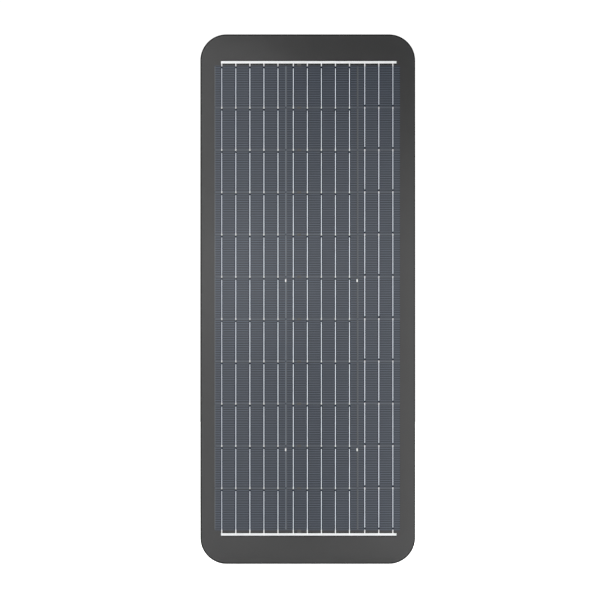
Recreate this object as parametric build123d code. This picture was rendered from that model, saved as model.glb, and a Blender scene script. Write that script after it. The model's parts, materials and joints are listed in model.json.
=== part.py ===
"""Flexible solar sheet: a bendable laminate of eleven cell rows with a junction box on its back.

Millimetres. +X is the sheet's right, +Z runs up its long side and -Y points out of its sunny face.
The origin is the middle of the flat back face: the laminate lies at negative Y and the box at positive Y.
"""

import math
import os

from build123d import *

# ---- Laminate outline ----
SHEET_WIDTH = 477.0
SHEET_HEIGHT = 1176.0
CORNER_RADIUS = 58.0

# ---- Layer thicknesses, from the back face forwards ----
BACKSHEET = 1.2
REAR_ENCAPSULANT = 0.5
CELL_THICKNESS = 0.2
FRONT_ENCAPSULANT = 0.5
FRONT_FILM = 0.1

# ---- Cells ----
ROW_COUNT = 11
ROW_PITCH = 93.91
ROW_GAP = 4.2  # between one row of cells and the next
CELLS_TOP = 519.0  # half a row gap above the first row's top edge
BUSBAR_PITCH = 31.2
BUSBAR_MARGIN = 15.975  # cell edge to its outer busbar
NARROW_CELL_WIDTH = 94.05  # a five-busbar cell cut down to three
CELLS_LEFT = -206.9
STRING_GAP = 2.05  # between one column of cells and the next
BUSBARS_PER_COLUMN = (5, 5, 3)
UPWARD_COLUMN = 2  # the narrow column is turned over, so its ribbons cross upwards

# ---- Ribbons ----
RIBBON_WIDTH = 1.5
RIBBON_STEP_WIDTH = 2.0  # pressed wider where it leaves the cell
RIBBON_THICKNESS = 0.2
RIBBON_OVERRUN = 0.3  # straight run past the cell's edge before it widens
RIBBON_SETBACK = 4.5  # bare cell between a ribbon's free end and the cell's edge
BUS_WIDTH = 5.5
BUS_TOP_Z = 526.0
BUS_BOTTOM_Z = -522.6
BUS_LEFT_OVERHANG = 1.8  # past the first ribbon's middle
BUS_RIGHT_OVERHANG = 8.0  # past the last ribbon's middle
JOINT_GAP = 0.2  # between rigid pieces on either side of a bending line

# ---- Tabs that hold the columns apart ----
TAB_WIDTH = 2.7
TAB_HEIGHT = 6.0
TAB_THICKNESS = 0.2
TAB_DROP = 8.4  # row line down to the tab's middle
TAB_ROWS = {"spacer_tabs_upper": 6, "spacer_tabs_lower": 10}

# ---- Return path and leads ----
LEAD_X = 19.0  # positive lead at +X, negative lead at -X
LEAD_WIDTH = 5.0
LEAD_THICKNESS = 0.15
INSULATION_WIDTH = 9.0
INSULATION_THICKNESS = 0.1
LEAD_Z = BUS_TOP_Z + 2.0  # where the leads turn back, hidden behind the top bus
LEAD_FOLD = 8.0  # length folded down on the terminal rail
RETURN_BEND = 2.0  # height over which the return ribbon comes forward to the bottom bus
SLOT_WIDTH = 7.0
SLOT_HEIGHT = 2.2

# ---- Junction box ----
BOX_WIDTH = 104.0
BOX_HEIGHT = 66.0
BOX_BOTTOM_Z = 506.0
BOX_CORNER = 6.0
WALL = 3.0
FLOOR = 1.8
FLANGE = 6.0
FLANGE_ROUND = 0.6
PAD_THICKNESS = 0.8
PAD_INSET = 1.0
LEAST_CORNER = 1.0  # smallest inner corner radius
RIM_Y = 16.75  # top of the walls, above the back face
LID_GAP = 0.05  # the lid rests on its gasket, clear of the walls
LID_THICKNESS = 2.2
LID_EDGE_RADIUS = 1.4
LID_PANEL_MARGIN = 8.0  # raised frame round the lid's sunk panel
LID_PANEL_DEPTH = 0.5
LID_PANEL_CORNER = 4.0
SKIRT_DEPTH = 3.5
SKIRT_THICKNESS = 1.5
SKIRT_CLEARANCE = 0.3
GASKET_WIDTH = 1.4
GASKET_HEIGHT = 1.2
PRY_NOTCH = (10.0, 0.6, 1.6)  # along the rim, into the wall, down from the rim
PRY_NOTCH_X = 30.0
WINDOW_WIDTH = 9.0
WINDOW_HEIGHT = 5.0
GUSSET_THICKNESS = 1.6
GUSSET_RISE = 7.0
GUSSET_REACH = 4.6
GUSSET_X = (-44.0, 0.0, 44.0)
ROOT = 1.0  # how far ribs and gland bodies run into the wall they stand on

# ---- Glands on the box's lower wall ----
GLAND_Y = 10.4
GLAND_RADIUS = 5.8
GLAND_LENGTH = 14.0
GLAND_BORE_RADIUS = 4.6
CABLE_WAY_RADIUS = 3.3
SEAL_RADIUS = 3.0
SEAL_START = 3.0  # from the wall's outer face to the seal's inner end
SEAL_END = 14.7
NUT_RADIUS = 7.5
NUT_START = 5.0
NUT_LENGTH = 13.0
NUT_END_WALL = 3.0
NUT_BORE_RADIUS = 6.0
NUT_MOUTH_RADIUS = 3.6
NUT_CHAMFER = 0.8
FLUTE_COUNT = 12
FLUTE_RADIUS = 1.0

# ---- Terminals inside the box ----
RAIL_WIDTH = 12.0
RAIL_Y = 6.0
RAIL_THICKNESS = 1.0
RAIL_LOW_Z = 530.2
RAIL_HIGH_Z = 561.0
PEDESTAL_MARGIN = 1.5
CLAMP_Z = 545.0
CLAMP_SIZE = 10.0
CLAMP_THICKNESS = 1.2
CLAMP_CORNER = 0.8
SCREW_RADIUS = 1.9
SCREW_HOLE_RADIUS = 2.05
SCREW_HEAD_RADIUS = 3.6
SCREW_HEAD_HEIGHT = 2.2
SCREW_HEAD_ROUND = 0.5
SCREW_SLOT = (0.9, 1.1)  # width and depth
DIODE_Z = 557.0
DIODE_RADIUS = 2.7
DIODE_LENGTH = 9.5
DIODE_ROUND = 0.5
DIODE_LEAD_RADIUS = 0.6
DIODE_LEAD_END_X = 23.0

# ---- Derived levels and places ----
Y_BACKSHEET = -BACKSHEET
Y_CELL_REAR = Y_BACKSHEET - REAR_ENCAPSULANT
Y_CELL_FRONT = Y_CELL_REAR - CELL_THICKNESS
Y_FILM_REAR = Y_CELL_FRONT - FRONT_ENCAPSULANT
Y_SUN = Y_FILM_REAR - FRONT_FILM
Y_LEAD = Y_BACKSHEET - LEAD_THICKNESS
Y_INSULATION = Y_LEAD - INSULATION_THICKNESS
FLOOR_Y = PAD_THICKNESS + FLOOR
LID_SEAT_Y = RIM_Y + LID_GAP
RAIL_TOP_Y = RAIL_Y + RAIL_THICKNESS
BOX_MID_Z = BOX_BOTTOM_Z + BOX_HEIGHT / 2
SHEET_TOP_Z = SHEET_HEIGHT / 2
WIDE_CELL_WIDTH = 2 * BUSBAR_MARGIN + 4 * BUSBAR_PITCH
ROWS = range(1, ROW_COUNT + 1)
SIDES = (-1, 1)


# ---- Shape helpers ----
def block(x, y, z):
    """A box from its (low, high) pairs along each axis."""
    size = [high - low for low, high in (x, y, z)]
    middle = [(low + high) / 2 for low, high in (x, y, z)]
    return Pos(*middle) * Box(*size)


def plate(sketch, y_low, y_high):
    """An X-Z sketch made solid between two Y levels."""
    return extrude(Plane.XZ.offset(-y_high) * sketch, amount=y_high - y_low)


def strip(points, x_middle, width):
    """A closed outline of (y, z) points made solid across a width along X."""
    face = make_face(Polyline(*points, close=True))
    return extrude(Plane.YZ.offset(x_middle - width / 2) * face, amount=width)


def rod(radius, z_low, z_high, x=0.0, y=0.0):
    """A round bar along Z."""
    return Pos(x, y, (z_low + z_high) / 2) * Cylinder(radius, z_high - z_low)


def stud(radius, y_low, y_high, x, z):
    """A round bar along Y."""
    return plate(Pos(x, z) * Circle(radius), y_low, y_high)


def rounded_plate(width, height, corner, middle_z, y_low, y_high):
    return plate(Pos(0, middle_z) * RectangleRounded(width, height, corner), y_low, y_high)


def sheet_layer(y_low, y_high):
    """One full layer of the laminate."""
    return rounded_plate(SHEET_WIDTH, SHEET_HEIGHT, CORNER_RADIUS, 0, y_low, y_high)


# ---- Rows and columns ----
def row_line(row):
    """Height of the bending line under a row; row_line(0) is the top of the cell field."""
    return CELLS_TOP - row * ROW_PITCH


def cell_span(row):
    return row_line(row) + ROW_GAP / 2, row_line(row - 1) - ROW_GAP / 2


def rigid_span(row):
    """The stretch of sheet that stays flat with this row, ends and margins included."""
    low = -SHEET_TOP_Z if row == ROW_COUNT else row_line(row) + JOINT_GAP / 2
    high = SHEET_TOP_Z if row == 1 else row_line(row - 1) - JOINT_GAP / 2
    return low, high


def columns():
    """Each column's left edge, width and ribbon positions."""
    found = []
    left = CELLS_LEFT
    for count in BUSBARS_PER_COLUMN:
        width = WIDE_CELL_WIDTH if count == BUSBARS_PER_COLUMN[0] else NARROW_CELL_WIDTH
        ribbons = [left + BUSBAR_MARGIN + i * BUSBAR_PITCH for i in range(count)]
        found.append((left, width, ribbons))
        left += width + STRING_GAP
    return found


COLUMNS = columns()


def backsheet_row(row):
    low, high = rigid_span(row)
    band = block((-SHEET_WIDTH, SHEET_WIDTH), (-SHEET_WIDTH, SHEET_WIDTH), (low, high))
    piece = sheet_layer(Y_BACKSHEET, 0) & band
    if row > 1:
        return [piece]
    slots = [
        block(
            (side * LEAD_X - SLOT_WIDTH / 2, side * LEAD_X + SLOT_WIDTH / 2),
            (Y_BACKSHEET, 0),
            (LEAD_Z - SLOT_HEIGHT / 2, LEAD_Z + SLOT_HEIGHT / 2),
        )
        for side in SIDES
    ]
    return [piece - slots]


def cells_row(row):
    return [
        block((left, left + width), (Y_CELL_FRONT, Y_CELL_REAR), cell_span(row))
        for left, width, ribbons in COLUMNS
    ]


def flat_ribbon(y_front, z_from, z_to, thickness=RIBBON_THICKNESS):
    y_rear = y_front + thickness
    return [(y_front, z_from), (y_rear, z_from), (y_rear, z_to), (y_front, z_to)]


def stepped_ribbon(edge, joint):
    """From the front level at the cell's edge back to the rear level at the joint."""
    return [
        (Y_CELL_FRONT, edge),
        (Y_CELL_REAR + RIBBON_THICKNESS, joint),
        (Y_CELL_REAR, joint),
        (Y_CELL_FRONT - RIBBON_THICKNESS, edge),
    ]


def ribbon_stretches(row, upward):
    """One ribbon's front and rear stretches in a row, each as (outline on the cell, outline off it)."""
    front_y = Y_CELL_FRONT - RIBBON_THICKNESS
    below, above = cell_span(row)
    low, high = rigid_span(row)
    meets_bus_above = row == 1
    meets_bus_below = row == ROW_COUNT
    if meets_bus_above:
        high = BUS_TOP_Z + BUS_WIDTH / 2
    if meets_bus_below:
        low = BUS_BOTTOM_Z - BUS_WIDTH / 2
    if upward:
        front_start, front_edge, front_end = below + RIBBON_SETBACK, above + RIBBON_OVERRUN, high
        rear_start, rear_edge, rear_end = above - RIBBON_SETBACK, below - RIBBON_OVERRUN, low
        front_on_bus = meets_bus_above
    else:
        front_start, front_edge, front_end = above - RIBBON_SETBACK, below - RIBBON_OVERRUN, low
        rear_start, rear_edge, rear_end = below + RIBBON_SETBACK, above + RIBBON_OVERRUN, high
        front_on_bus = meets_bus_below
    if front_on_bus:
        off_cell = flat_ribbon(front_y, front_edge, front_end)
    else:
        off_cell = stepped_ribbon(front_edge, front_end)
    front = (flat_ribbon(front_y, front_start, front_edge), off_cell)
    rear = (flat_ribbon(Y_CELL_REAR, rear_start, rear_edge), flat_ribbon(Y_CELL_REAR, rear_edge, rear_end))
    return front, rear


def return_ribbon(row):
    """The stretch of the return path behind one row; the last one turns forward to the bottom bus."""
    low, high = rigid_span(row)
    if row < ROW_COUNT:
        return strip(flat_ribbon(Y_LEAD, low, high, LEAD_THICKNESS), -LEAD_X, LEAD_WIDTH)
    bus_edge = BUS_BOTTOM_Z + BUS_WIDTH / 2
    bend_low = bus_edge - RETURN_BEND
    foot_end = BUS_BOTTOM_Z - BUS_WIDTH / 2
    outline = [
        (Y_BACKSHEET, high),
        (Y_BACKSHEET, bus_edge),
        (Y_CELL_REAR + LEAD_THICKNESS, bend_low),
        (Y_CELL_REAR + LEAD_THICKNESS, foot_end),
        (Y_CELL_REAR, foot_end),
        (Y_CELL_REAR, bend_low),
        (Y_LEAD, bus_edge),
        (Y_LEAD, high),
    ]
    return strip(outline, -LEAD_X, LEAD_WIDTH)


def ribbons_row(row):
    pieces = []
    for number, (left, width, ribbons) in enumerate(COLUMNS):
        for on_cell, off_cell in ribbon_stretches(row, number == UPWARD_COLUMN):
            for x in ribbons:
                pieces.append(strip(on_cell, x, RIBBON_WIDTH) + strip(off_cell, x, RIBBON_STEP_WIDTH))
    if row > 1:
        pieces.append(return_ribbon(row))
    return pieces


def bus_ribbon(middle_z):
    first = COLUMNS[0][2][0]
    last = COLUMNS[-1][2][-1]
    return block(
        (first - BUS_LEFT_OVERHANG, last + BUS_RIGHT_OVERHANG),
        (Y_CELL_FRONT, Y_CELL_REAR),
        (middle_z - BUS_WIDTH / 2, middle_z + BUS_WIDTH / 2),
    )


def spacer_tabs(row):
    """Small tape tabs over the two gaps between columns, stuck to the cells' front edges."""
    middle = row_line(row - 1) - TAB_DROP
    tabs = []
    for left, width, ribbons in COLUMNS[:-1]:
        gap_x = left + width + STRING_GAP / 2
        tabs.append(
            block(
                (gap_x - TAB_WIDTH / 2, gap_x + TAB_WIDTH / 2),
                (Y_CELL_FRONT - TAB_THICKNESS, Y_CELL_FRONT),
                (middle - TAB_HEIGHT / 2, middle + TAB_HEIGHT / 2),
            )
        )
    return tabs


def return_insulation():
    """Black strip in front of the return ribbon, from the bottom bus to the top bus."""
    return block(
        (-LEAD_X - INSULATION_WIDTH / 2, -LEAD_X + INSULATION_WIDTH / 2),
        (Y_INSULATION, Y_LEAD),
        (BUS_BOTTOM_Z + BUS_WIDTH / 2, LEAD_Z),
    )


def lead_tail():
    """The end that both leads share: back through the sheet, then folded down on the terminal rail."""
    fold_end = LEAD_Z + LEAD_FOLD
    inner_z = LEAD_Z + LEAD_THICKNESS
    return [
        (RAIL_TOP_Y + LEAD_THICKNESS, LEAD_Z),
        (RAIL_TOP_Y + LEAD_THICKNESS, fold_end),
        (RAIL_TOP_Y, fold_end),
        (RAIL_TOP_Y, inner_z),
    ]


def lead_positive():
    """From behind the top bus through the backsheet to the positive rail."""
    foot_low = BUS_TOP_Z - BUS_WIDTH / 2
    rear_y = Y_CELL_REAR + LEAD_THICKNESS
    foot = [
        (Y_CELL_REAR, LEAD_Z + LEAD_THICKNESS),
        (Y_CELL_REAR, foot_low),
        (rear_y, foot_low),
        (rear_y, LEAD_Z),
    ]
    return strip(foot + lead_tail(), LEAD_X, LEAD_WIDTH)


def lead_negative():
    """The top stretch of the return path, through the backsheet to the negative rail."""
    low = rigid_span(1)[0]
    foot = [
        (Y_LEAD, LEAD_Z + LEAD_THICKNESS),
        (Y_LEAD, low),
        (Y_BACKSHEET, low),
        (Y_BACKSHEET, LEAD_Z),
    ]
    return strip(foot + lead_tail(), -LEAD_X, LEAD_WIDTH)


# ---- Junction box ----
def lead_windows(width, height, y_low, y_high):
    return [
        block(
            (side * LEAD_X - width / 2, side * LEAD_X + width / 2),
            (y_low, y_high),
            (LEAD_Z - height / 2, LEAD_Z + height / 2),
        )
        for side in SIDES
    ]


def box_pad():
    """Adhesive foam pad under the box's flange."""
    inset = 2 * PAD_INSET
    pad = rounded_plate(
        BOX_WIDTH + 2 * FLANGE - inset,
        BOX_HEIGHT + 2 * FLANGE - inset,
        BOX_CORNER + FLANGE - PAD_INSET,
        BOX_MID_Z,
        0,
        PAD_THICKNESS,
    )
    return pad - lead_windows(WINDOW_WIDTH + inset, WINDOW_HEIGHT + inset, 0, PAD_THICKNESS)


def wall_ring(outset, thickness, y_low, y_high):
    """A ring that follows the box's wall, its outer face moved in by outset."""
    outer = rounded_plate(
        BOX_WIDTH - 2 * outset, BOX_HEIGHT - 2 * outset, BOX_CORNER - outset, BOX_MID_Z, y_low, y_high
    )
    inset = outset + thickness
    inner = rounded_plate(
        BOX_WIDTH - 2 * inset,
        BOX_HEIGHT - 2 * inset,
        max(BOX_CORNER - inset, LEAST_CORNER),
        BOX_MID_Z,
        y_low,
        y_high,
    )
    return outer - inner


def gasket():
    return wall_ring((WALL - GASKET_WIDTH) / 2, GASKET_WIDTH, RIM_Y - GASKET_HEIGHT, LID_SEAT_Y)


def gussets():
    """Triangular ribs between the flange and the walls."""
    ribs = []
    for side in SIDES:
        wall_z = BOX_MID_Z + side * BOX_HEIGHT / 2
        for x in GUSSET_X:
            outline = [
                (FLOOR_Y, wall_z - side * ROOT),
                (FLOOR_Y + GUSSET_RISE, wall_z - side * ROOT),
                (FLOOR_Y + GUSSET_RISE, wall_z),
                (FLOOR_Y, wall_z + side * GUSSET_REACH),
            ]
            ribs.append(strip(outline, x, GUSSET_THICKNESS))
    return ribs


def box_base():
    """Tray with its flange, gasket groove, pry notches, pedestals and the two gland bodies."""
    base = rounded_plate(
        BOX_WIDTH + 2 * FLANGE,
        BOX_HEIGHT + 2 * FLANGE,
        BOX_CORNER + FLANGE,
        BOX_MID_Z,
        PAD_THICKNESS,
        FLOOR_Y,
    )
    base = base.fillet(FLANGE_ROUND, base.faces().sort_by(Axis.Y)[-1].edges())
    base += wall_ring(0, WALL, FLOOR_Y, RIM_Y)
    base += gussets()
    for side in SIDES:
        x = side * LEAD_X
        half = RAIL_WIDTH / 2 - PEDESTAL_MARGIN / 2
        base += block(
            (x - half, x + half),
            (FLOOR_Y, RAIL_Y),
            (RAIL_LOW_Z + PEDESTAL_MARGIN, RAIL_HIGH_Z - PEDESTAL_MARGIN),
        )
        base += rod(GLAND_RADIUS, BOX_BOTTOM_Z - GLAND_LENGTH, BOX_BOTTOM_Z + ROOT, x, GLAND_Y)
    for side in SIDES:
        x = side * LEAD_X
        base -= rod(
            GLAND_BORE_RADIUS, BOX_BOTTOM_Z - GLAND_LENGTH, BOX_BOTTOM_Z - SEAL_START, x, GLAND_Y
        )
        base -= rod(CABLE_WAY_RADIUS, BOX_BOTTOM_Z - SEAL_START, BOX_BOTTOM_Z + WALL, x, GLAND_Y)
        base -= stud(SCREW_HOLE_RADIUS, FLOOR_Y, RAIL_Y, x, CLAMP_Z)
    base -= gasket()
    base -= lead_windows(WINDOW_WIDTH, WINDOW_HEIGHT, PAD_THICKNESS, FLOOR_Y)
    along, into, down = PRY_NOTCH
    for wall_side in SIDES:
        wall_z = BOX_MID_Z + wall_side * BOX_HEIGHT / 2
        edges = sorted((wall_z, wall_z - wall_side * into))
        for side in SIDES:
            x = side * PRY_NOTCH_X
            base -= block((x - along / 2, x + along / 2), (RIM_Y - down, RIM_Y), edges)
    return base


def box_lid():
    """Lid plate with rounded edges and a skirt that plugs inside the walls."""
    lid_top = LID_SEAT_Y + LID_THICKNESS
    lid = rounded_plate(BOX_WIDTH, BOX_HEIGHT, BOX_CORNER, BOX_MID_Z, LID_SEAT_Y, lid_top)
    lid = lid.fillet(LID_EDGE_RADIUS, lid.faces().sort_by(Axis.Y)[-1].edges())
    panel = rounded_plate(
        BOX_WIDTH - 2 * LID_PANEL_MARGIN,
        BOX_HEIGHT - 2 * LID_PANEL_MARGIN,
        LID_PANEL_CORNER,
        BOX_MID_Z,
        lid_top - LID_PANEL_DEPTH,
        lid_top,
    )
    lid -= panel
    return lid + wall_ring(WALL + SKIRT_CLEARANCE, SKIRT_THICKNESS, LID_SEAT_Y - SKIRT_DEPTH, LID_SEAT_Y)


def terminal_rail(side):
    x = side * LEAD_X
    rail = block(
        (x - RAIL_WIDTH / 2, x + RAIL_WIDTH / 2), (RAIL_Y, RAIL_TOP_Y), (RAIL_LOW_Z, RAIL_HIGH_Z)
    )
    return rail - stud(SCREW_HOLE_RADIUS, RAIL_Y, RAIL_TOP_Y, x, CLAMP_Z)


def cable_clamp(side):
    x = side * LEAD_X
    half = CLAMP_SIZE / 2
    top = RAIL_TOP_Y + CLAMP_THICKNESS
    clamp = block((x - half, x + half), (RAIL_TOP_Y, top), (CLAMP_Z - half, CLAMP_Z + half))
    clamp = clamp.fillet(CLAMP_CORNER, clamp.edges().filter_by(Axis.Y))
    return clamp - stud(SCREW_HOLE_RADIUS, RAIL_TOP_Y, top, x, CLAMP_Z)


def clamp_screw(side):
    x = side * LEAD_X
    seat = RAIL_TOP_Y + CLAMP_THICKNESS
    screw = stud(SCREW_HEAD_RADIUS, seat, seat + SCREW_HEAD_HEIGHT, x, CLAMP_Z)
    screw = screw.fillet(SCREW_HEAD_ROUND, screw.faces().sort_by(Axis.Y)[-1].edges())
    screw += stud(SCREW_RADIUS, FLOOR_Y, seat, x, CLAMP_Z)
    width, depth = SCREW_SLOT
    head_top = seat + SCREW_HEAD_HEIGHT
    return screw - block(
        (x - SCREW_HEAD_RADIUS, x + SCREW_HEAD_RADIUS),
        (head_top - depth, head_top),
        (CLAMP_Z - width / 2, CLAMP_Z + width / 2),
    )


def diode_part(radius, x_low, x_high):
    """A round bar along X on the diode's axis, lying on the terminal rails."""
    axis_y = RAIL_TOP_Y + DIODE_LEAD_RADIUS
    bar = Rot(0, 90, 0) * Cylinder(radius, x_high - x_low)
    return Pos((x_low + x_high) / 2, axis_y, DIODE_Z) * bar


def diode_body():
    half = DIODE_LENGTH / 2
    body = diode_part(DIODE_RADIUS, -half, half)
    return body.fillet(DIODE_ROUND, body.edges().filter_by(GeomType.CIRCLE))


def diode_leads():
    half = DIODE_LENGTH / 2
    return [
        diode_part(DIODE_LEAD_RADIUS, *sorted((side * half, side * DIODE_LEAD_END_X)))
        for side in SIDES
    ]


def gland_seal(side):
    """Rubber sleeve that grips the cable inside the gland body."""
    x = side * LEAD_X
    low = BOX_BOTTOM_Z - SEAL_END
    high = BOX_BOTTOM_Z - SEAL_START
    return rod(GLAND_BORE_RADIUS, low, high, x, GLAND_Y) - rod(SEAL_RADIUS, low, high, x, GLAND_Y)


def gland_nut(side):
    """Fluted cap nut round the gland body, open at its end for the cable."""
    x = side * LEAD_X
    high = BOX_BOTTOM_Z - NUT_START
    low = high - NUT_LENGTH
    nut = rod(NUT_RADIUS, low, high)
    nut = nut.chamfer(NUT_CHAMFER, None, nut.edges().filter_by(GeomType.CIRCLE))
    for i in range(FLUTE_COUNT):
        turn = math.radians(360 / FLUTE_COUNT * i)
        reach = NUT_RADIUS + FLUTE_RADIUS / 2
        nut -= rod(FLUTE_RADIUS, low, high, reach * math.cos(turn), reach * math.sin(turn))
    nut -= rod(NUT_BORE_RADIUS, low + NUT_END_WALL, high)
    nut -= rod(NUT_MOUTH_RADIUS, low, low + NUT_END_WALL)
    return Pos(x, GLAND_Y, 0) * nut


# ---- All nodes ----
nodes = {}
for row in ROWS:
    nodes[f"backsheet_row_{row:02d}"] = backsheet_row(row)
    nodes[f"cells_row_{row:02d}"] = cells_row(row)
    nodes[f"ribbons_row_{row:02d}"] = ribbons_row(row)
for name, row in TAB_ROWS.items():
    nodes[name] = spacer_tabs(row)
nodes["bus_ribbon_top"] = [bus_ribbon(BUS_TOP_Z)]
nodes["bus_ribbon_bottom"] = [bus_ribbon(BUS_BOTTOM_Z)]
nodes["lead_positive"] = [lead_positive()]
nodes["lead_negative"] = [lead_negative()]
nodes["return_insulation"] = [return_insulation()]

buried = [solid for pieces in nodes.values() for solid in pieces]
nodes["rear_encapsulant"] = [sheet_layer(Y_CELL_REAR, Y_BACKSHEET) - buried]
nodes["front_encapsulant"] = [sheet_layer(Y_FILM_REAR, Y_CELL_REAR) - buried]
nodes["front_film"] = [sheet_layer(Y_SUN, Y_FILM_REAR)]

nodes["junction_box_pad"] = [box_pad()]
nodes["junction_box_base"] = [box_base()]
nodes["junction_box_lid"] = [box_lid()]
nodes["lid_gasket"] = [gasket()]
nodes["terminal_rail_positive"] = [terminal_rail(1)]
nodes["terminal_rail_negative"] = [terminal_rail(-1)]
nodes["cable_clamps"] = [cable_clamp(side) for side in SIDES]
nodes["clamp_screws"] = [clamp_screw(side) for side in SIDES]
nodes["bypass_diode"] = [diode_body()]
nodes["bypass_diode_leads"] = diode_leads()
nodes["gland_seals"] = [gland_seal(side) for side in SIDES]
nodes["gland_nut_positive"] = [gland_nut(1)]
nodes["gland_nut_negative"] = [gland_nut(-1)]

os.makedirs("parts", exist_ok=True)
for name, pieces in nodes.items():
    solids = [solid for piece in pieces for solid in piece.solids()]
    export_step(Compound(children=solids), f"parts/{name}.step")
print(len(nodes), "nodes")
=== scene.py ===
"""Looks of the flexible solar sheet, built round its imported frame.

Metres, +Z up, the sunny face towards -Y.
"""

import json
import math
import random

import bmesh
import bpy
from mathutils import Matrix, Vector


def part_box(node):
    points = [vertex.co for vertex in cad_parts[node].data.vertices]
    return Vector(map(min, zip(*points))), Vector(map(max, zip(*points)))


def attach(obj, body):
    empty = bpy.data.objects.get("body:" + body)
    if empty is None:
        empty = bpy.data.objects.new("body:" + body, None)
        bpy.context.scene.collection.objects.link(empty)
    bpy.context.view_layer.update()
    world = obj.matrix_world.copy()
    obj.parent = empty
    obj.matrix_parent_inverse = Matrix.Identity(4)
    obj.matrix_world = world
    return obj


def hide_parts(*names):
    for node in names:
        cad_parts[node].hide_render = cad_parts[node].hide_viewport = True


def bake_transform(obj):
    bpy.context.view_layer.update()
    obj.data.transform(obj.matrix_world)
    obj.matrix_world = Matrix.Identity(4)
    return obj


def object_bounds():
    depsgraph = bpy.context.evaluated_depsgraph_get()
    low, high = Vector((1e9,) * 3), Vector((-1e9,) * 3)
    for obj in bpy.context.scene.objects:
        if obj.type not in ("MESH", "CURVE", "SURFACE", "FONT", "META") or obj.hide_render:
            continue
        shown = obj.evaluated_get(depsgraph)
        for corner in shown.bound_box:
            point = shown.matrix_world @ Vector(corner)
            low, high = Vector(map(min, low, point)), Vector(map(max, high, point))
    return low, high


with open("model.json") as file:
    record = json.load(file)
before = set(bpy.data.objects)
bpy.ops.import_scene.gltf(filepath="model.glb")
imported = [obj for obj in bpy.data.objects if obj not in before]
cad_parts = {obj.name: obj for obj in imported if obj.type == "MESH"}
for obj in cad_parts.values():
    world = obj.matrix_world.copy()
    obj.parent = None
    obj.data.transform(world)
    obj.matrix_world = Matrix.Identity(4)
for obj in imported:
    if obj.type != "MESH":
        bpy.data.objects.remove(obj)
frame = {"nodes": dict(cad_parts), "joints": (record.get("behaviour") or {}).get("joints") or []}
cad_low, cad_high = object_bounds()
nodes = frame["nodes"]

MM = 0.001
ROW_COUNT = 11
CORNER_RADIUS = 58 * MM
CORNER_STEPS = 24
EDGE_ROUND = 1.1 * MM  # rounding of the clear layers at the sheet's rim
RIM_SEAL = 2.6 * MM  # matt sealed strip along the rim
BACK_ROUND = 0.3 * MM
ROUND_STEPS = 4
BEND_REACH = 25 * MM  # extra edges are cut this far either side of each bending line
BEND_STEPS = 10
CELL_BEVEL = 0.04 * MM
FINGER_PITCH = 1.7  # mm, as in the cells' own millimetre coordinates
FINGER_GROUP = 3  # every third finger is a little heavier
BUSBAR_MARGIN = 15.975  # mm, cell edge to its first busbar
BUSBAR_PITCH = 31.2  # mm
COLUMN_HIGHLIGHT = (1.0, 0.3)  # how strong the painted highlight in each gap between columns is
COLUMN_HIGHLIGHT_HALF = 1.3 * MM
ROW_HIGHLIGHT_HALF = 1.0 * MM  # half the width of the painted highlight along the line between two rows
BUS_SHADE_HALF = 5.2 * MM  # the backsheet is darker this far either side of a bus ribbon
WEAVE_PITCH = 0.9 * MM
FINGER_WIDTH = 0.14  # mm
HEAVY_FINGER_WIDTH = 0.26  # mm
FINGER_END_GAP = 1.0  # mm of bare silicon at a cell's sides
BUSBAR_CLEAR = (2.3, 2.9)  # mm from a ribbon's middle over which the painted shade beside it, bare of fingers, ends
LEFT_EDGE_HIGHLIGHT = (1.5, 1.8)  # mm over which the painted highlight along a cell's left edge ends
FILM_NOISE = 40.0
FILM_WAVE_NOISE = 7.0
FILM_ROUGHNESS = (0.31, 0.37)
GLOSS_UNDER_FILM = 0.42
FRESH_FROM = -95 * MM  # ribbons further to the left are a little duller
UNBENT = "unbent_place"  # the attribute that keeps each vertex's place on the flat sheet
rng = random.Random(11)

sheet_low, sheet_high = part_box("front_film")
Y_SUN = sheet_low.y
Y_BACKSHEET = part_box("backsheet_row_06")[0].y
Y_BACK = 0.0


def row_node(kind, row):
    return f"{kind}_row_{row:02d}"


def row_body(row):
    return f"sheet_row_{row:02d}"


bend_z = {j["name"]: j["pos_m"][2] for j in frame["joints"] if j["name"].startswith("bend_")}
row_pitch = (bend_z["bend_01"] - bend_z["bend_10"]) / (ROW_COUNT - 2)
field_top = bend_z["bend_01"] + row_pitch
field_bottom = bend_z["bend_10"] - row_pitch
field_middle_z = (field_top + field_bottom) / 2
field_half_z = (field_top - field_bottom) / 2
row_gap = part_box("cells_row_01")[0].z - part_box("cells_row_02")[1].z
field_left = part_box("cells_row_01")[0].x
field_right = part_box("cells_row_01")[1].x
bus_top_z = sum(corner.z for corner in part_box("bus_ribbon_top")) / 2
bus_bottom_z = sum(corner.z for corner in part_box("bus_ribbon_bottom")) / 2


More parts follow.
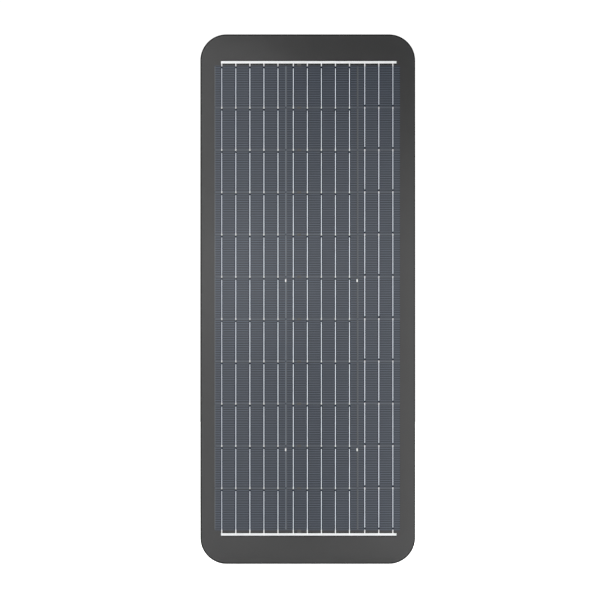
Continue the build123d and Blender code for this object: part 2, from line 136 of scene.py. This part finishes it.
# ---------------------------------------------------------------- materials
class Shader:
    """One material's node tree, with short ways to add to it.

    A flexing material is laid out on the unbent piece, so that bending doesn't move its pattern.
    """

    def __init__(self, name, flexes=False):
        self.flexes = flexes
        self.material = bpy.data.materials.new(name)
        self.material.use_nodes = True
        self.tree = self.material.node_tree
        self.tree.nodes.clear()

    def add(self, kind, inputs=None, **settings):
        node = self.tree.nodes.new("ShaderNode" + kind)
        for key, value in settings.items():
            setattr(node, key, value)
        for key, value in (inputs or {}).items():
            self.feed(node.inputs[key], value)
        return node

    def feed(self, socket, value):
        if isinstance(value, bpy.types.NodeSocket):
            self.tree.links.new(value, socket)
        else:
            socket.default_value = value

    def math(self, operation, a, b=0.0, c=0.0):
        return self.add("Math", {0: a, 1: b, 2: c}, operation=operation).outputs[0]

    def mix(self, factor, a, b):
        node = self.add("Mix", {0: factor}, data_type="RGBA")
        self.feed(node.inputs[6], a)
        self.feed(node.inputs[7], b)
        return node.outputs[2]

    def fade(self, value, low, high, to_low=0.0, to_high=1.0):
        source = {"Value": value, "From Min": low, "From Max": high}
        target = {"To Min": to_low, "To Max": to_high}
        return self.add("MapRange", {**source, **target}, interpolation_type="SMOOTHSTEP").outputs[0]

    def point(self):
        """Where a point of the piece lies, before any bending."""
        if self.flexes:
            return self.add("Attribute", attribute_name=UNBENT).outputs["Vector"]
        return self.add("TexCoord").outputs["Object"]

    def place(self):
        """The x, y and z of a point of the piece."""
        return self.add("SeparateXYZ", {0: self.point()}).outputs

    def band(self, value, middle, half, soft=0.1 * MM):
        """1 within half of the middle, 0 beyond."""
        away = self.math("ABSOLUTE", self.math("SUBTRACT", value, middle))
        return self.fade(away, half - soft, half + soft, 1.0, 0.0)

    def both(self, first, *others):
        for other in others:
            first = self.math("MULTIPLY", first, other)
        return first

    def row_distance(self, z):
        """How far z is from the nearest line between two rows, or from the field's top or bottom line."""
        share = self.math("FRACT", self.math("DIVIDE", self.math("SUBTRACT", field_top, z), row_pitch))
        nearest = self.math("MINIMUM", share, self.math("SUBTRACT", 1.0, share))
        return self.math("MULTIPLY", nearest, row_pitch)

    def rim_distance(self, x, z):
        """How far a point is inside the sheet's rounded outline."""
        over_x = self.math("SUBTRACT", self.math("ABSOLUTE", x), sheet_high.x - CORNER_RADIUS)
        over_z = self.math("SUBTRACT", self.math("ABSOLUTE", z), sheet_high.z - CORNER_RADIUS)
        square_x = self.math("POWER", self.math("MAXIMUM", over_x, 0.0), 2.0)
        square_z = self.math("POWER", self.math("MAXIMUM", over_z, 0.0), 2.0)
        corner = self.math("SQRT", self.math("ADD", square_x, square_z))
        inside = self.math("MINIMUM", self.math("MAXIMUM", over_x, over_z), 0.0)
        return self.math("SUBTRACT", CORNER_RADIUS, self.math("ADD", corner, inside))

    def noise(self, scale, detail=3.0, stretch=(1, 1, 1), rough=0.5):
        place = self.point()
        if stretch != (1, 1, 1):
            place = self.add("Mapping", {"Vector": place, "Scale": stretch}).outputs[0]
        inputs = {"Vector": place, "Scale": scale, "Detail": detail, "Roughness": rough}
        return self.add("TexNoise", inputs).outputs["Fac"]

    def bump(self, height, distance, strength=1.0, below=None):
        inputs = {"Height": height, "Distance": distance, "Strength": strength}
        if below is not None:
            inputs["Normal"] = below
        return self.add("Bump", inputs).outputs[0]

    def film_satin(self):
        """Roughness and normal of the satin film, for it and for the layers that show its gloss."""
        rough = self.fade(self.noise(FILM_NOISE), 0.3, 0.7, *FILM_ROUGHNESS)
        return rough, self.bump(self.noise(FILM_WAVE_NOISE, 2.0), 0.5 * MM, 0.25)

    def sealed_rim(self, x, z, inside, at_rim):
        """One value inside the sheet and another along its matt sealed rim."""
        return self.fade(self.rim_distance(x, z), 0.8 * RIM_SEAL, 1.2 * RIM_SEAL, at_rim, inside)

    def principled(self, **inputs):
        named = {key.replace("_", " "): value for key, value in inputs.items()}
        return self.add("BsdfPrincipled", named).outputs[0]

    def output(self, shader):
        self.add("OutputMaterial", {"Surface": shader})
        return self.material


def grey(value):
    return (value, value, value, 1)


def film_material():
    """Clear satin film: a sheen that grows at a slant. The layers under it carry the straight-on gloss."""
    s = Shader("clear_satin_film", flexes=True)
    x, _, z = s.place()
    dimple_inputs = {"Vector": s.point(), "Scale": 700.0, "Randomness": 0.8}
    dimples = s.add("TexVoronoi", dimple_inputs).outputs["Distance"]
    rough, normal = s.film_satin()
    normal = s.bump(dimples, 0.03 * MM, 0.25, normal)
    gloss = s.add("BsdfGlossy", {"Color": grey(1.0), "Roughness": rough, "Normal": normal}).outputs[0]
    slant = s.add("Fresnel", {"IOR": 1.45, "Normal": normal}).outputs[0]
    share = s.both(s.fade(slant, 0.05, 0.7, 0.0, 0.7), s.sealed_rim(x, z, 1.0, 0.1))
    clear = s.add("BsdfTransparent", {"Color": (0.985, 0.985, 0.98, 1)}).outputs[0]
    return s.output(s.add("MixShader", {0: share, 1: clear, 2: gloss}).outputs[0])


def string_gap_middles():
    """Where the gaps between the columns of cells are, along X."""
    wafers = solid_boxes("cells_row_06")
    return [(left[1].x + right[0].x) / 2 for left, right in zip(wafers, wafers[1:])]


def backsheet_material():
    """Black glass-fibre backsheet with a fine weave, the paler filler that shows between the cells with
    painted highlights along the gaps, and painted shade beside the bus ribbons.
    """
    s = Shader("black_backsheet", flexes=True)
    x, y, z = s.place()
    weave_x = s.math("SINE", s.math("MULTIPLY", x, 2 * math.pi / WEAVE_PITCH))
    weave_z = s.math("SINE", s.math("MULTIPLY", z, 2 * math.pi / WEAVE_PITCH))
    weave = s.math("MULTIPLY", weave_x, weave_z)
    cloud = s.noise(14.0, 5.0, rough=0.6)
    grain = s.noise(1500.0, 2.0)
    back = s.fade(y, Y_BACKSHEET * 0.6, Y_BACKSHEET * 0.4)
    front = s.math("SUBTRACT", 1.0, back)
    colour = s.mix(cloud, (0.0510, 0.0510, 0.0525, 1), (0.0540, 0.0540, 0.0555, 1))
    colour = s.mix(s.fade(weave, -1.0, 1.0, 0.0, 0.2), colour, (0.065, 0.065, 0.067, 1))
    rear_colour = s.mix(cloud, grey(0.0150), grey(0.0185))
    rear_colour = s.mix(s.fade(weave, -1.0, 1.0, 0.0, 0.35), rear_colour, grey(0.030))
    in_height = s.band(z, field_middle_z, field_half_z)
    in_rows = s.band(z, field_middle_z, field_half_z - row_gap / 2)
    in_width = s.band(x, (field_left + field_right) / 2, (field_right - field_left) / 2)
    near_row_line = s.fade(s.row_distance(z), 0.45 * row_gap, 0.55 * row_gap, 1.0, 0.0)
    # painted highlight: a pale line where the clear filler between two rows catches the light
    row_line_highlight = s.fade(s.row_distance(z), 0.9 * ROW_HIGHLIGHT_HALF, 1.1 * ROW_HIGHLIGHT_HALF, 1.0, 0.0)
    # painted highlight in the gaps between columns, where the clear filler catches the light
    columns = 0.0
    for middle, share in zip(string_gap_middles(), COLUMN_HIGHLIGHT):
        columns = s.math("ADD", columns, s.both(s.band(x, middle, COLUMN_HIGHLIGHT_HALF), share))
    off_columns = s.math("SUBTRACT", 1.0, columns)
    off_rows = s.math("SUBTRACT", 1.0, near_row_line)
    colour = s.mix(s.both(near_row_line, in_height, in_width), colour, (0.052, 0.066, 0.094, 1))
    # painted highlight along the line between two rows
    colour = s.mix(s.both(row_line_highlight, in_rows, in_width, off_columns), colour, (0.103, 0.120, 0.148, 1))
    # painted highlight in the gaps between columns
    colour = s.mix(s.both(columns, in_rows, off_rows), colour, (0.142, 0.174, 0.218, 1))
    colour = s.mix(back, colour, rear_colour)
    bus_low, bus_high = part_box("bus_ribbon_top")
    # painted shade on the backsheet beside the bus ribbons
    by_top, by_bottom = (s.band(z, bus_z, BUS_SHADE_HALF, 0.4 * MM) for bus_z in (bus_top_z, bus_bottom_z))
    by_bus = s.math("ADD", by_top, by_bottom)
    in_bus = s.band(x, (bus_low.x + bus_high.x) / 2, (bus_high.x - bus_low.x) / 2)
    sealed = s.sealed_rim(x, z, 0.0, 1.0)
    # dark: the sealed rim's own darker colour, and painted shade beside the bus ribbons
    dark = s.both(s.math("MAXIMUM", s.both(by_bus, in_bus, 0.9), sealed), front)
    colour = s.mix(dark, colour, grey(0.007))
    satin, normal = s.film_satin()
    normal = s.bump(weave, 0.03 * MM, s.fade(back, 0.0, 1.0, 0.05, 0.4), normal)
    normal = s.bump(grain, 0.02 * MM, s.fade(back, 0.0, 1.0, 0.05, 0.4), normal)
    rough = s.math("ADD", s.both(satin, front), s.both(s.fade(grain, 0.3, 0.7, 0.52, 0.64), back))
    shine = s.fade(s.both(sealed, front), 0.0, 1.0, GLOSS_UNDER_FILM, 0.05)
    sheet = s.principled(Base_Color=colour, Roughness=rough, Normal=normal, Specular_IOR_Level=shine)
    return s.output(sheet)


def cell_material():
    """Dark blue silicon crossed by fine printed fingers, with painted shade beside each ribbon, a painted
    highlight along its left edge and a pale strip at its cut edges.
    """
    s = Shader("silicon_cell")
    near = s.add("SeparateXYZ", {0: s.add("UVMap", uv_map="near_edges_mm").outputs[0]})
    far = s.add("SeparateXYZ", {0: s.add("UVMap", uv_map="far_edges_mm").outputs[0]})
    u, v = near.outputs["X"], near.outputs["Y"]
    u_far, v_far = far.outputs["X"], far.outputs["Y"]
    tint = s.add("Attribute", attribute_name="tint").outputs["Fac"]

    def lines(pitch, width):
        phase = s.math("FRACT", s.math("DIVIDE", v, pitch))
        away = s.math("ABSOLUTE", s.math("SUBTRACT", phase, 0.5))
        return s.fade(away, 0.5 * width / pitch, 0.65 * width / pitch, 1.0, 0.0)

    light_fingers = lines(FINGER_PITCH, FINGER_WIDTH)
    heavy_fingers = lines(FINGER_GROUP * FINGER_PITCH, HEAVY_FINGER_WIDTH)
    fingers = s.math("MAXIMUM", light_fingers, heavy_fingers)
    side = s.math("MINIMUM", u, u_far)
    end = s.math("MINIMUM", v, v_far)
    from_half_pitch = s.math("SUBTRACT", u, BUSBAR_MARGIN - BUSBAR_PITCH / 2)
    turn = s.math("FRACT", s.math("DIVIDE", from_half_pitch, BUSBAR_PITCH))
    busbar = s.math("MULTIPLY", s.math("ABSOLUTE", s.math("SUBTRACT", turn, 0.5)), BUSBAR_PITCH)
    off_busbar = s.fade(busbar, *BUSBAR_CLEAR)
    off_side = s.fade(side, FINGER_END_GAP, 1.1 * FINGER_END_GAP)
    off_end = s.fade(end, 0.9 * FINGER_END_GAP, FINGER_END_GAP)
    fingers = s.both(fingers, off_side, off_end, off_busbar)
    mottle = s.noise(35.0, 4.0)
    silicon = s.mix(tint, (0.0385, 0.0575, 0.0930, 1), (0.0410, 0.0585, 0.0920, 1))
    silicon = s.mix(s.fade(mottle, 0.3, 0.7), silicon, (0.0425, 0.0615, 0.0970, 1))
    wave = s.math("COSINE", s.math("MULTIPLY", v, 2 * math.pi / (FINGER_GROUP * FINGER_PITCH)))
    swing = s.fade(s.noise(60.0, 2.0, stretch=(0.15, 0.002, 1.0)), 0.35, 0.65, 0.24, 0.52)
    bands = s.math("ADD", s.both(wave, swing), 0.5)
    silicon = s.mix(bands, s.mix(0.8, silicon, grey(0.004)), (0.0830, 0.1045, 0.1480, 1))
    # painted shade on the silicon beside each ribbon, where no fingers are printed
    silicon = s.mix(off_busbar, (0.0090, 0.0180, 0.0400, 1), silicon)
    left_edge_highlight = s.fade(u, *LEFT_EDGE_HIGHLIGHT, 1.0, 0.0)
    pale_end = s.fade(end, 0.6, 0.8, 0.35, 0.0)
    # painted highlight along each cell's left edge; the top and bottom edges are paler too
    silicon = s.mix(s.math("MAXIMUM", left_edge_highlight, pale_end), silicon, (0.118, 0.129, 0.148, 1))
    colour = s.mix(fingers, silicon, (0.100, 0.115, 0.142, 1))
    pits = s.noise(2500.0, 2.0)
    rough, normal = s.film_satin()
    normal = s.bump(pits, 0.01 * MM, 0.1, normal)
    normal = s.bump(fingers, 0.015 * MM, 0.3, normal)
    wafer = s.principled(
        Base_Color=colour, Roughness=rough, Normal=normal, Specular_IOR_Level=GLOSS_UNDER_FILM
    )
    return s.output(wafer)


def tinned_material(name, dull, fresh, highlight_colour, streak):
    """Solder-coated copper, streaked along its length, duller towards -X, with a painted highlight where it
    crosses the gaps between rows and runs off the cells.
    """
    s = Shader(name)
    x, _, z = s.place()
    streaks = s.noise(800.0, 3.0, stretch=streak)
    blotch = s.noise(120.0, 3.0)
    # painted highlight where a ribbon crosses the gap between two rows or runs beyond the cells
    crossing_highlight = s.fade(s.row_distance(z), 0.5 * row_gap, 0.55 * row_gap, 1.0, 0.0)
    in_height = s.band(z, field_middle_z, field_half_z)
    crossing_highlight = s.math("MAXIMUM", crossing_highlight, s.math("SUBTRACT", 1.0, in_height))
    colour = s.mix(s.fade(x, field_left, FRESH_FROM), dull, fresh)
    colour = s.mix(crossing_highlight, colour, highlight_colour)
    colour = s.mix(s.fade(blotch, 0.3, 0.7, 0.0, 0.05), colour, grey(0.45))
    normal = s.bump(streaks, 0.03 * MM, 0.4)
    rough = s.fade(streaks, 0.3, 0.7, 0.4, 0.55)
    tin = s.principled(
        Base_Color=colour, Metallic=0.05, Roughness=rough, Normal=normal, Specular_IOR_Level=0.9
    )
    return s.output(tin)


def tape_material(name, tone, flexes=False):
    s = Shader(name, flexes)
    fibre = s.noise(900.0, 3.0, stretch=(1, 1, 0.2))
    colour = s.mix(fibre, grey(tone), grey(tone * 0.92))
    normal = s.bump(fibre, 0.03 * MM, 0.4)
    rough = s.fade(fibre, 0.3, 0.7, 0.5, 0.65)
    return s.output(s.principled(Base_Color=colour, Roughness=rough, Normal=normal))


def moulded_material(name, tone, grain_scale, rough_low, rough_high):
    """Moulded black plastic with a fine spark-eroded grain and slight flow marks."""
    s = Shader(name)
    grain = s.noise(grain_scale, 4.0, rough=0.65)
    flow = s.noise(30.0, 3.0, stretch=(1, 1, 0.3))
    colour = s.mix(s.fade(flow, 0.35, 0.65), grey(tone), grey(tone * 1.25))
    normal = s.bump(grain, 0.06 * MM, 0.55)
    rough = s.fade(grain, 0.3, 0.7, rough_low, rough_high)
    return s.output(s.principled(Base_Color=colour, Roughness=rough, Normal=normal))


def rubber_material(name, tone, scale):
    s = Shader(name)
    grain = s.noise(scale, 4.0, rough=0.7)
    colour = s.mix(grain, grey(tone * 0.8), grey(tone * 1.3))
    normal = s.bump(grain, 0.05 * MM, 0.6)
    rough = s.fade(grain, 0.3, 0.7, 0.7, 0.85)
    return s.output(s.principled(Base_Color=colour, Roughness=rough, Normal=normal))


def metal_material(name, tone, stretch):
    s = Shader(name)
    brush = s.noise(600.0, 4.0, stretch=stretch, rough=0.6)
    colour = s.mix(brush, (tone, tone, tone * 1.02, 1), (tone * 0.8, tone * 0.8, tone * 0.82, 1))
    normal = s.bump(brush, 0.02 * MM, 0.5)
    rough = s.fade(brush, 0.3, 0.7, 0.22, 0.38)
    return s.output(s.principled(Base_Color=colour, Metallic=1.0, Roughness=rough, Normal=normal))


# ---------------------------------------------------------------- mesh helpers
def new_object(name, bm, material, smooth_angle=35):
    bmesh.ops.recalc_face_normals(bm, faces=bm.faces)
    mesh = bpy.data.meshes.new(name)
    bm.to_mesh(mesh)
    bm.free()
    unbent = mesh.attributes.new(UNBENT, "FLOAT_VECTOR", "POINT")
    unbent.data.foreach_set("vector", [k for vertex in mesh.vertices for k in vertex.co])
    for polygon in mesh.polygons:
        polygon.use_smooth = True
    mesh.set_sharp_from_angle(angle=math.radians(smooth_angle))
    mesh.materials.append(material)
    piece = bpy.data.objects.new(name, mesh)
    bpy.context.scene.collection.objects.link(piece)
    return piece


def rim_points(inset):
    """The sheet's outline moved in by inset, as (x, z) points."""
    radius = CORNER_RADIUS - inset
    points = []
    for turn, (side_x, side_z) in enumerate(((1, 1), (-1, 1), (-1, -1), (1, -1))):
        middle_x = side_x * (sheet_high.x - CORNER_RADIUS)
        middle_z = side_z * (sheet_high.z - CORNER_RADIUS)
        for step in range(CORNER_STEPS + 1):
            angle = math.pi / 2 * (turn + step / CORNER_STEPS)
            points.append((middle_x + radius * math.cos(angle), middle_z + radius * math.sin(angle)))
    return points


def sheet_rings(profile, cap_first, cap_last):
    """A skin that follows the sheet's rim through (inset, y) levels, closed by a flat face at either end."""
    bm = bmesh.new()
    rings = [[bm.verts.new((x, y, z)) for x, z in rim_points(inset)] for inset, y in profile]
    count = len(rings[0])
    for ring, following in zip(rings, rings[1:]):
        for i in range(count):
            j = (i + 1) % count
            bm.faces.new((ring[i], ring[j], following[j], following[i]))
    if cap_first:
        bm.faces.new(rings[0])
    if cap_last:
        bm.faces.new(rings[-1])
    return bm


def cut_across(bm, z, clear=0):
    """Adds an edge all across at height z; clear of 1 drops what is above it and -1 what is below."""
    geometry = bm.verts[:] + bm.edges[:] + bm.faces[:]
    bmesh.ops.bisect_plane(
        bm,
        geom=geometry,
        dist=1e-7,
        plane_co=(0, 0, z),
        plane_no=(0, 0, 1),
        clear_outer=clear == 1,
        clear_inner=clear == -1,
    )


def rounding(radius, y_flat, direction):
    """(inset, y) levels of a quarter round that meets the flat at y_flat, from the side wall inwards."""
    levels = []
    for step in range(ROUND_STEPS + 1):
        angle = math.pi / 2 * step / ROUND_STEPS
        inset = radius * (1 - math.cos(angle))
        levels.append((inset, y_flat + direction * radius * (1 - math.sin(angle))))
    return levels


def mid_row(row):
    low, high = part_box(row_node("cells", row))
    return (low.z + high.z) / 2


def bending_pieces(name, make, material, stands_for, capped):
    """Ten pieces of one layer, each from mid-row to mid-row, with extra edges cut round one bending line."""
    for line in range(1, ROW_COUNT):
        z_line = bend_z[f"bend_{line:02d}"]
        bm = make()
        if line > 1:
            cut_across(bm, mid_row(line), clear=1)
        if line < ROW_COUNT - 1:
            cut_across(bm, mid_row(line + 1), clear=-1)
        for step in range(BEND_STEPS + 1):
            cut_across(bm, z_line + BEND_REACH * (2 * step / BEND_STEPS - 1))
        if capped:
            open_edges = [edge for edge in bm.edges if edge.is_boundary]
            bmesh.ops.holes_fill(bm, edges=open_edges)
        piece = new_object(f"{name}_{line:02d}", bm, material)
        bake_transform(piece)
        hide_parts(*stands_for(line))


def solid_boxes(node):
    """The (low, high) corners of each separate solid in a CAD node, from left to right."""
    bm = bmesh.new()
    bm.from_mesh(nodes[node].data)
    bmesh.ops.remove_doubles(bm, verts=bm.verts, dist=1e-6)
    unseen = set(bm.verts)
    found = []
    while unseen:
        stack = [unseen.pop()]
        group = []
        while stack:
            vertex = stack.pop()
            group.append(vertex.co.copy())
            for edge in vertex.link_edges:
                other = edge.other_vert(vertex)
                if other in unseen:
                    unseen.remove(other)
                    stack.append(other)
        low = Vector([min(co[k] for co in group) for k in range(3)])
        high = Vector([max(co[k] for co in group) for k in range(3)])
        found.append((low, high))
    bm.free()
    return sorted(found, key=lambda pair: pair[0].x)


# ---------------------------------------------------------------- laminate
def clear_skin():
    side = [(0, Y_BACKSHEET)]
    return sheet_rings(side + rounding(EDGE_ROUND, Y_SUN, 1), cap_first=False, cap_last=True)


def backsheet_slab():
    front = list(reversed(rounding(BACK_ROUND, Y_BACKSHEET, 1)))
    back = rounding(BACK_ROUND, Y_BACK, -1)
    return sheet_rings(front + back, cap_first=True, cap_last=True)


def insulation_strip():
    low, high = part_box("return_insulation")
    bm = bmesh.new()
    bmesh.ops.create_cube(bm, size=1)
    for vertex in bm.verts:
        vertex.co = [low[k] if vertex.co[k] < 0 else high[k] for k in range(3)]
    return bm


film = film_material()
backsheet = backsheet_material()
cell = cell_material()
# painted highlight colour for ribbons in the gaps between rows and beyond the cells
TIN_HIGHLIGHT = (0.970, 0.980, 0.985, 1)
BUS_TIN = (0.905, 0.920, 0.935, 1)
ribbon = tinned_material(
    "tinned_ribbon", (0.65, 0.70, 0.80, 1), (0.845, 0.910, 1.0, 1), TIN_HIGHLIGHT, (1, 1, 0.05)
)
bus = tinned_material("tinned_bus", BUS_TIN, BUS_TIN, BUS_TIN, (0.05, 1, 1))
pale_tape = tape_material("pale_tape", 1.0)
dark_tape = tape_material("dark_tape", 0.095, flexes=True)

CLEAR_LAYERS = ("front_film", "front_encapsulant", "rear_encapsulant")
bending_pieces("clear_layers", clear_skin, film, lambda line: CLEAR_LAYERS, False)
bending_pieces(
    "backsheet",
    backsheet_slab,
    backsheet,
    lambda line: (row_node("backsheet", line), row_node("backsheet", line + 1)),
    True,
)
bending_pieces(
    "insulation_strip", insulation_strip, dark_tape, lambda line: ("return_insulation",), True
)


def cells_piece(row):
    """One row of cells: thin bevelled wafers that know how far each point is from their edges."""
    bm = bmesh.new()
    near = bm.loops.layers.uv.new("near_edges_mm")
    far = bm.loops.layers.uv.new("far_edges_mm")
    tint = bm.verts.layers.float.new("tint")
    for low, high in solid_boxes(row_node("cells", row)):
        made = bmesh.ops.create_cube(bm, size=1)["verts"]
        shade = rng.random()
        for vertex in made:
            vertex.co = [low[k] if vertex.co[k] < 0 else high[k] for k in range(3)]
            vertex[tint] = shade
        edges = list({edge for vertex in made for edge in vertex.link_edges})
        bevelled = bmesh.ops.bevel(bm, geom=edges, offset=CELL_BEVEL, segments=1, affect="EDGES")
        faces = {face for vertex in bevelled["verts"] for face in vertex.link_faces}
        for face in faces:
            for loop in face.loops:
                co = loop.vert.co
                loop.vert[tint] = shade
                loop[near].uv = ((co.x - low.x) / MM, (co.z - low.z) / MM)
                loop[far].uv = ((high.x - co.x) / MM, (high.z - co.z) / MM)
    return new_object(f"cells_{row:02d}", bm, cell)


for row in range(1, ROW_COUNT + 1):
    wafers = cells_piece(row)
    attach(wafers, row_body(row))
    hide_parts(row_node("cells", row))


# ---------------------------------------------------------------- carried-over CAD pieces
def dress(node, material, bevel=0.0):
    """Gives a CAD node a finished material and, where it helps, softly rounded edges."""
    piece = nodes[node]
    piece.data.materials.clear()
    piece.data.materials.append(material)
    for polygon in piece.data.polygons:
        polygon.material_index = 0
    if bevel:
        modifier = piece.modifiers.new("edge_rounding", "BEVEL")
        modifier.width = bevel
        modifier.segments = 2
        modifier.limit_method = "ANGLE"
        modifier.angle_limit = math.radians(40)
        modifier.harden_normals = True


for row in range(1, ROW_COUNT + 1):
    dress(row_node("ribbons", row), ribbon)
dress("bus_ribbon_top", bus)
dress("bus_ribbon_bottom", bus)
dress("lead_positive", ribbon)
dress("lead_negative", ribbon)
dress("spacer_tabs_upper", pale_tape)
dress("spacer_tabs_lower", pale_tape)

box_plastic = moulded_material("box_plastic", 0.022, 1800.0, 0.38, 0.5)
gland_plastic = moulded_material("gland_plastic", 0.018, 2400.0, 0.34, 0.46)
seal_rubber = rubber_material("seal_rubber", 0.03, 1500.0)
foam = rubber_material("foam_tape", 0.02, 3500.0)
terminal_metal = metal_material("tinned_terminal", 0.75, (1, 1, 0.08))
screw_metal = metal_material("screw_steel", 0.6, (0.08, 1, 1))
epoxy = moulded_material("diode_epoxy", 0.02, 3000.0, 0.25, 0.35)

dress("junction_box_base", box_plastic, 0.25 * MM)
dress("junction_box_lid", box_plastic)
dress("junction_box_pad", foam)
dress("lid_gasket", seal_rubber)
dress("gland_seals", seal_rubber, 0.2 * MM)
dress("gland_nut_positive", gland_plastic, 0.2 * MM)
dress("gland_nut_negative", gland_plastic, 0.2 * MM)
dress("terminal_rail_positive", terminal_metal, 0.15 * MM)
dress("terminal_rail_negative", terminal_metal, 0.15 * MM)
dress("cable_clamps", terminal_metal, 0.15 * MM)
dress("clamp_screws", screw_metal, 0.12 * MM)
dress("bypass_diode", epoxy)
dress("bypass_diode_leads", terminal_metal)


# ---------------------------------------------------------------- studio
WORLD_LEVEL = 1.05
CARD_DISTANCE = 0.5
CARD_HALF_WIDTH = 0.65
CARD_HALF_HEIGHT = 1.0
CARD_EVEN_HALF_WIDTH = 0.45  # beyond these the card fades into the plain surroundings
CARD_EVEN_HALF_HEIGHT = 0.80
CARD_DIMMEST = 0.05
# A least-squares fit to the tones wanted in the front view gave the values from here to SHADE_LEVEL.
# Only LOBE_SQUEEZE and the 0.03 in LOBE_FADE were given, not fitted.
CARD_BASE = 0.30
LOBE_MIDDLE = (-0.136, 0.069)  # the brighter patch, x and z
LOBE_SQUEEZE = 0.6  # it is wider than high
LOBE_FADE = (0.03, 0.247)
LOBE_LEVEL = 1.11
SIDE_REACH = 0.099
SIDE_LEVEL = 1.10
SHADE_SLOPE = 0.767  # the shade deepens along z plus this share of x
SHADE_FADE = (0.358, 0.967)
SHADE_LEVEL = 2.5
FLOOR_REACH = 14.0
REAR_LIGHT_PLACE = (1.3, 2.1, 1.7)
REAR_LIGHT_AIM = Vector((0, 0, 0.3))
REAR_LIGHT_SIZE = 1.2
REAR_LIGHT_WATTS = 50
CAMERA_PLACE = (-0.0172, -12.0, -0.0020)
CAMERA_VIEW_HEIGHT = 1.3328
SENSOR_WIDTH = 36.0


def flat_stage_piece(name, corners, material):
    bm = bmesh.new()
    bm.faces.new([bm.verts.new(corner) for corner in corners])
    piece = new_object(name, bm, material)
    return piece


def studio_floor():
    s = Shader("pale_floor")
    colour = s.mix(s.noise(3.0), grey(0.88), grey(0.90))
    glow = s.principled(
        Base_Color=colour,
        Roughness=0.8,
        Specular_IOR_Level=0.1,
        Emission_Color=grey(1.0),
        Emission_Strength=0.5,
    )
    reach = FLOOR_REACH
    z = cad_low.z - 0.5 * MM
    corners = [(-reach, -reach, z), (reach, -reach, z), (reach, reach, z), (-reach, reach, z)]
    material = s.output(glow)
    material.cycles.emission_sampling = "NONE"
    flat_stage_piece("floor", corners, material)


def soft_card():
    """A soft box before the sheet: brighter to the middle left and the sides, dim at the top right."""
    s = Shader("soft_card")
    x, _, z = s.place()
    away_x = s.math("MULTIPLY", s.math("SUBTRACT", x, LOBE_MIDDLE[0]), LOBE_SQUEEZE)
    away_z = s.math("SUBTRACT", z, LOBE_MIDDLE[1])
    square = s.math("ADD", s.math("POWER", away_x, 2.0), s.math("POWER", away_z, 2.0))
    lobe = s.fade(s.math("SQRT", square), *LOBE_FADE, LOBE_LEVEL, 0.0)
    sides = s.fade(s.math("ABSOLUTE", x), 0.0, SIDE_REACH, 0.0, SIDE_LEVEL)
    slope = s.math("ADD", z, s.math("MULTIPLY", x, SHADE_SLOPE))
    shade = s.fade(slope, *SHADE_FADE, 0.0, SHADE_LEVEL)
    lit = s.math("ADD", s.math("ADD", CARD_BASE, sides), lobe)
    level = s.math("SUBTRACT", lit, shade)
    inner_x = s.fade(s.math("ABSOLUTE", x), CARD_EVEN_HALF_WIDTH, CARD_HALF_WIDTH, 1.0, 0.0)
    inner_z = s.fade(s.math("ABSOLUTE", z), CARD_EVEN_HALF_HEIGHT, CARD_HALF_HEIGHT, 1.0, 0.0)
    inner = s.both(inner_x, inner_z)
    plain = s.math("MULTIPLY", s.math("SUBTRACT", 1.0, inner), WORLD_LEVEL)
    level = s.math("ADD", s.both(level, inner), plain)
    level = s.math("MAXIMUM", level, CARD_DIMMEST)
    material = s.output(s.add("Emission", {"Color": grey(1.0), "Strength": level}).outputs[0])
    w, h, y = CARD_HALF_WIDTH, CARD_HALF_HEIGHT, -CARD_DISTANCE
    card = flat_stage_piece("soft_card", [(-w, y, -h), (w, y, -h), (w, y, h), (-w, y, h)], material)
    card.visible_camera = False
    card.visible_diffuse = False
    card.visible_transmission = False
    card.visible_volume_scatter = False
    card.visible_shadow = False


def studio_light():
    world = bpy.data.worlds.new("studio")
    bpy.context.scene.world = world
    world.use_nodes = True
    background = world.node_tree.nodes["Background"]
    background.inputs["Color"].default_value = grey(1.0)
    background.inputs["Strength"].default_value = WORLD_LEVEL
    data = bpy.data.lights.new("rear_soft_light", "AREA")
    data.shape = "SQUARE"
    data.size = REAR_LIGHT_SIZE
    data.energy = REAR_LIGHT_WATTS
    light = bpy.data.objects.new("rear_soft_light", data)
    bpy.context.scene.collection.objects.link(light)
    light.location = REAR_LIGHT_PLACE
    aim = REAR_LIGHT_AIM - light.location
    light.rotation_euler = aim.to_track_quat("-Z", "Y").to_euler()


def front_camera():
    """A long lens square to the sheet, a little off its middle."""
    data = bpy.data.cameras.new("camera")
    camera = bpy.data.objects.new("camera", data)
    bpy.context.scene.collection.objects.link(camera)
    data.sensor_width = SENSOR_WIDTH
    data.lens = SENSOR_WIDTH * -CAMERA_PLACE[1] / CAMERA_VIEW_HEIGHT
    data.clip_end = 100
    camera.location = CAMERA_PLACE
    camera.rotation_euler = (math.pi / 2, 0, 0)
    bpy.context.scene.camera = camera


studio_floor()
soft_card()
studio_light()
front_camera()
bpy.context.scene.view_settings.view_transform = "Standard"
